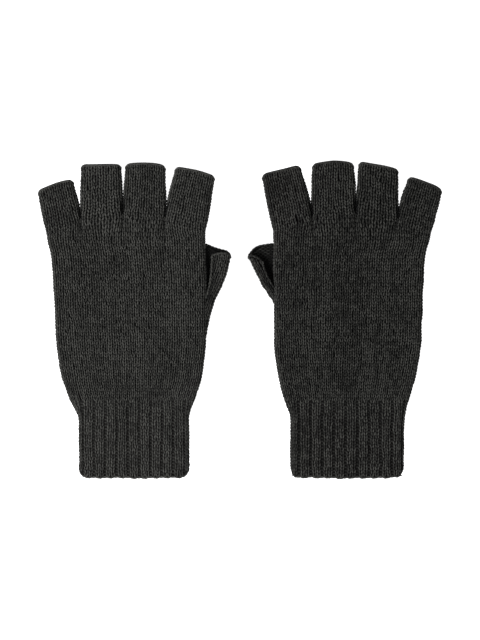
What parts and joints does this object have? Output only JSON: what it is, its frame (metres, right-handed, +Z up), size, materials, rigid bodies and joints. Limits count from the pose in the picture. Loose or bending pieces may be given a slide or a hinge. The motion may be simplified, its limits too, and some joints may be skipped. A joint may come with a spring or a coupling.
{
  "type": "pair of fingerless knitted gloves",
  "caption": "Pair of fingerless wool knit gloves with ribbed cuffs, open finger and thumb sleeves with bound-off edges, lying flat with their backs up.",
  "frame": {"origin": "on the table under the middle of the pair's bounding box", "axes": "+X towards the right-hand glove, +Y from the cuffs to the fingertips, +Z up from the table, through the backs of the gloves"},
  "size_m": [0.2669, 0.2097, 0.008],
  "materials": {
    "plain_knit_wool": "matt charcoal stockinette knit, wales lengthwise",
    "ribbed_wool": "matt charcoal rib knit",
    "wool_edging": "matt charcoal bound-off and cast-on yarn"
  },
  "bodies": {
    "left_glove": {"left_cuff": "ribbed_wool", "left_cuff_cast_on_edge": "wool_edging", "left_hand": "plain_knit_wool", "left_crotch_little_ring": "wool_edging", "left_crotch_ring_middle": "wool_edging", "left_crotch_middle_index": "wool_edging", "left_crotch_thumb": "wool_edging"},
    "left_little": {"left_little_sleeve": "plain_knit_wool", "left_little_bound_off_edge": "wool_edging"},
    "left_ring": {"left_ring_sleeve": "plain_knit_wool", "left_ring_bound_off_edge": "wool_edging"},
    "left_middle": {"left_middle_sleeve": "plain_knit_wool", "left_middle_bound_off_edge": "wool_edging"},
    "left_index": {"left_index_sleeve": "plain_knit_wool", "left_index_bound_off_edge": "wool_edging"},
    "left_thumb": {"left_thumb_sleeve": "plain_knit_wool", "left_thumb_bound_off_edge": "wool_edging"},
    "right_glove": {"right_cuff": "ribbed_wool", "right_cuff_cast_on_edge": "wool_edging", "right_hand": "plain_knit_wool", "right_crotch_little_ring": "wool_edging", "right_crotch_ring_middle": "wool_edging", "right_crotch_middle_index": "wool_edging", "right_crotch_thumb": "wool_edging"},
    "right_little": {"right_little_sleeve": "plain_knit_wool", "right_little_bound_off_edge": "wool_edging"},
    "right_ring": {"right_ring_sleeve": "plain_knit_wool", "right_ring_bound_off_edge": "wool_edging"},
    "right_middle": {"right_middle_sleeve": "plain_knit_wool", "right_middle_bound_off_edge": "wool_edging"},
    "right_index": {"right_index_sleeve": "plain_knit_wool", "right_index_bound_off_edge": "wool_edging"},
    "right_thumb": {"right_thumb_sleeve": "plain_knit_wool", "right_thumb_bound_off_edge": "wool_edging"}
  },
  "joints": [
    {"name": "left_little_knuckle", "type": "hinge", "parent": "left_glove", "child": "left_little", "pos_m": [-0.1174, 0.067, 0.004], "axis": [-0.9748, -0.2232, 0], "range_deg": [-45, 90]},
    {"name": "left_ring_knuckle", "type": "hinge", "parent": "left_glove", "child": "left_ring", "pos_m": [-0.0919, 0.073, 0.004], "axis": [-0.9999, -0.01, 0], "range_deg": [-45, 90]},
    {"name": "left_middle_knuckle", "type": "hinge", "parent": "left_glove", "child": "left_middle", "pos_m": [-0.0638, 0.0745, 0.004], "axis": [-0.9993, 0.0371, 0], "range_deg": [-45, 90]},
    {"name": "left_index_knuckle", "type": "hinge", "parent": "left_glove", "child": "left_index", "pos_m": [-0.0369, 0.068, 0.004], "axis": [-0.9742, 0.2256, 0], "range_deg": [-45, 90]},
    {"name": "left_thumb_hinge", "type": "hinge", "parent": "left_glove", "child": "left_thumb", "pos_m": [-0.01975, 0.0075, 0.004], "axis": [0, 1, 0], "range_deg": [-45, 90]},
    {"name": "right_glove_apart", "type": "slide", "parent": "left_glove", "child": "right_glove", "axis": [1, 0, 0], "range_m": [0, 0.12]},
    {"name": "right_little_knuckle", "type": "hinge", "parent": "right_glove", "child": "right_little", "pos_m": [0.1152, 0.0665, 0.004], "axis": [-0.9604, 0.2786, 0], "range_deg": [-45, 90]},
    {"name": "right_ring_knuckle", "type": "hinge", "parent": "right_glove", "child": "right_ring", "pos_m": [0.0901, 0.0735, 0.004], "axis": [-0.9991, 0.0413, 0], "range_deg": [-45, 90]},
    {"name": "right_middle_knuckle", "type": "hinge", "parent": "right_glove", "child": "right_middle", "pos_m": [0.0616, 0.0745, 0.004], "axis": [-1, -0.0098, 0], "range_deg": [-45, 90]},
    {"name": "right_index_knuckle", "type": "hinge", "parent": "right_glove", "child": "right_index", "pos_m": [0.0343, 0.068, 0.004], "axis": [-0.9723, -0.2339, 0], "range_deg": [-45, 90]},
    {"name": "right_thumb_hinge", "type": "hinge", "parent": "right_glove", "child": "right_thumb", "pos_m": [0.01953, 0.0115, 0.004], "axis": [0, -1, 0], "range_deg": [-45, 90]}
  ]
}
